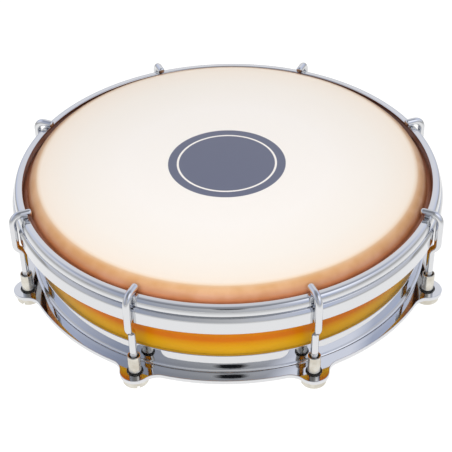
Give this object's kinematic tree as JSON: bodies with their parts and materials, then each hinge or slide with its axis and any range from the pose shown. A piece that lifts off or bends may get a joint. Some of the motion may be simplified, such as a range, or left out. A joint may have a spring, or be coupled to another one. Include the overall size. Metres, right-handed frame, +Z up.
{
  "type": "hand-held frame drum",
  "caption": "Small shallow frame drum: a translucent head on a moulded ring shell, pulled tight by a steel hoop, hooks with slotted nuts and a tension ring with ears.",
  "frame": {"origin": "on the floor under the middle of the drum, where it stands on the heads of its tuning nuts", "axes": "+Z up, square out of the playing face; -Y towards the front, between two tuning hooks"},
  "size_m": [0.1676, 0.1676, 0.0416],
  "materials": {
    "shell": "moulded ABS, warm yellow-orange, semi-gloss",
    "drumhead": "translucent cream polyester film, satin gloss",
    "flesh_hoop": "rolled channel, plain",
    "counterhoop": "rolled steel, chrome plated, mirror bright",
    "tension_ring": "pressed sheet steel, chrome plated, mirror bright",
    "tuning_hook": "bent steel rod, chrome plated, thread rolled on its lower end",
    "tuning_nut": "turned steel, warm nickel plate, satin bright",
    "nut_o_ring": "black nitrile rubber, matt"
  },
  "bodies": {
    "drum": {"shell": "shell", "drumhead": "drumhead", "flesh_hoop": "flesh_hoop", "counterhoop": "counterhoop", "tension_ring": "tension_ring"},
    "nut_1": {"tuning_nut_1": "tuning_nut", "nut_o_ring_1": "nut_o_ring"},
    "hook_1": {"tuning_hook_1": "tuning_hook"},
    "nut_2": {"tuning_nut_2": "tuning_nut", "nut_o_ring_2": "nut_o_ring"},
    "hook_2": {"tuning_hook_2": "tuning_hook"},
    "nut_3": {"tuning_nut_3": "tuning_nut", "nut_o_ring_3": "nut_o_ring"},
    "hook_3": {"tuning_hook_3": "tuning_hook"},
    "nut_4": {"tuning_nut_4": "tuning_nut", "nut_o_ring_4": "nut_o_ring"},
    "hook_4": {"tuning_hook_4": "tuning_hook"},
    "nut_5": {"tuning_nut_5": "tuning_nut", "nut_o_ring_5": "nut_o_ring"},
    "hook_5": {"tuning_hook_5": "tuning_hook"},
    "nut_6": {"tuning_nut_6": "tuning_nut", "nut_o_ring_6": "nut_o_ring"},
    "hook_6": {"tuning_hook_6": "tuning_hook"},
    "nut_7": {"tuning_nut_7": "tuning_nut", "nut_o_ring_7": "nut_o_ring"},
    "hook_7": {"tuning_hook_7": "tuning_hook"},
    "nut_8": {"tuning_nut_8": "tuning_nut", "nut_o_ring_8": "nut_o_ring"},
    "hook_8": {"tuning_hook_8": "tuning_hook"}
  },
  "joints": [
    {"name": "nut_1_turn", "type": "hinge", "parent": "drum", "child": "nut_1", "pos_m": [-0.03188, -0.07696, 0], "axis": [0, 0, -1], "range_deg": [0, 1440]},
    {"name": "hook_1_rise", "type": "slide", "parent": "drum", "child": "hook_1", "axis": [0, 0, 1], "range_m": [0, 0.002]},
    {"name": "nut_2_turn", "type": "hinge", "parent": "drum", "child": "nut_2", "pos_m": [0.03188, -0.07696, 0], "axis": [0, 0, -1], "range_deg": [0, 1440]},
    {"name": "hook_2_rise", "type": "slide", "parent": "drum", "child": "hook_2", "axis": [0, 0, 1], "range_m": [0, 0.002]},
    {"name": "nut_3_turn", "type": "hinge", "parent": "drum", "child": "nut_3", "pos_m": [0.07696, -0.03188, 0], "axis": [0, 0, -1], "range_deg": [0, 1440]},
    {"name": "hook_3_rise", "type": "slide", "parent": "drum", "child": "hook_3", "axis": [0, 0, 1], "range_m": [0, 0.002]},
    {"name": "nut_4_turn", "type": "hinge", "parent": "drum", "child": "nut_4", "pos_m": [0.07696, 0.03188, 0], "axis": [0, 0, -1], "range_deg": [0, 1440]},
    {"name": "hook_4_rise", "type": "slide", "parent": "drum", "child": "hook_4", "axis": [0, 0, 1], "range_m": [0, 0.002]},
    {"name": "nut_5_turn", "type": "hinge", "parent": "drum", "child": "nut_5", "pos_m": [0.03188, 0.07696, 0], "axis": [0, 0, -1], "range_deg": [0, 1440]},
    {"name": "hook_5_rise", "type": "slide", "parent": "drum", "child": "hook_5", "axis": [0, 0, 1], "range_m": [0, 0.002]},
    {"name": "nut_6_turn", "type": "hinge", "parent": "drum", "child": "nut_6", "pos_m": [-0.03188, 0.07696, 0], "axis": [0, 0, -1], "range_deg": [0, 1440]},
    {"name": "hook_6_rise", "type": "slide", "parent": "drum", "child": "hook_6", "axis": [0, 0, 1], "range_m": [0, 0.002]},
    {"name": "nut_7_turn", "type": "hinge", "parent": "drum", "child": "nut_7", "pos_m": [-0.07696, 0.03188, 0], "axis": [0, 0, -1], "range_deg": [0, 1440]},
    {"name": "hook_7_rise", "type": "slide", "parent": "drum", "child": "hook_7", "axis": [0, 0, 1], "range_m": [0, 0.002]},
    {"name": "nut_8_turn", "type": "hinge", "parent": "drum", "child": "nut_8", "pos_m": [-0.07696, -0.03188, 0], "axis": [0, 0, -1], "range_deg": [0, 1440]},
    {"name": "hook_8_rise", "type": "slide", "parent": "drum", "child": "hook_8", "axis": [0, 0, 1], "range_m": [0, 0.002]}
  ],
  "couplings": [
    {"joint": "nut_1_turn", "follows": "hook_1_rise", "rad_per_m": 12566},
    {"joint": "nut_2_turn", "follows": "hook_2_rise", "rad_per_m": 12566},
    {"joint": "nut_3_turn", "follows": "hook_3_rise", "rad_per_m": 12566},
    {"joint": "nut_4_turn", "follows": "hook_4_rise", "rad_per_m": 12566},
    {"joint": "nut_5_turn", "follows": "hook_5_rise", "rad_per_m": 12566},
    {"joint": "nut_6_turn", "follows": "hook_6_rise", "rad_per_m": 12566},
    {"joint": "nut_7_turn", "follows": "hook_7_rise", "rad_per_m": 12566},
    {"joint": "nut_8_turn", "follows": "hook_8_rise", "rad_per_m": 12566}
  ]
}
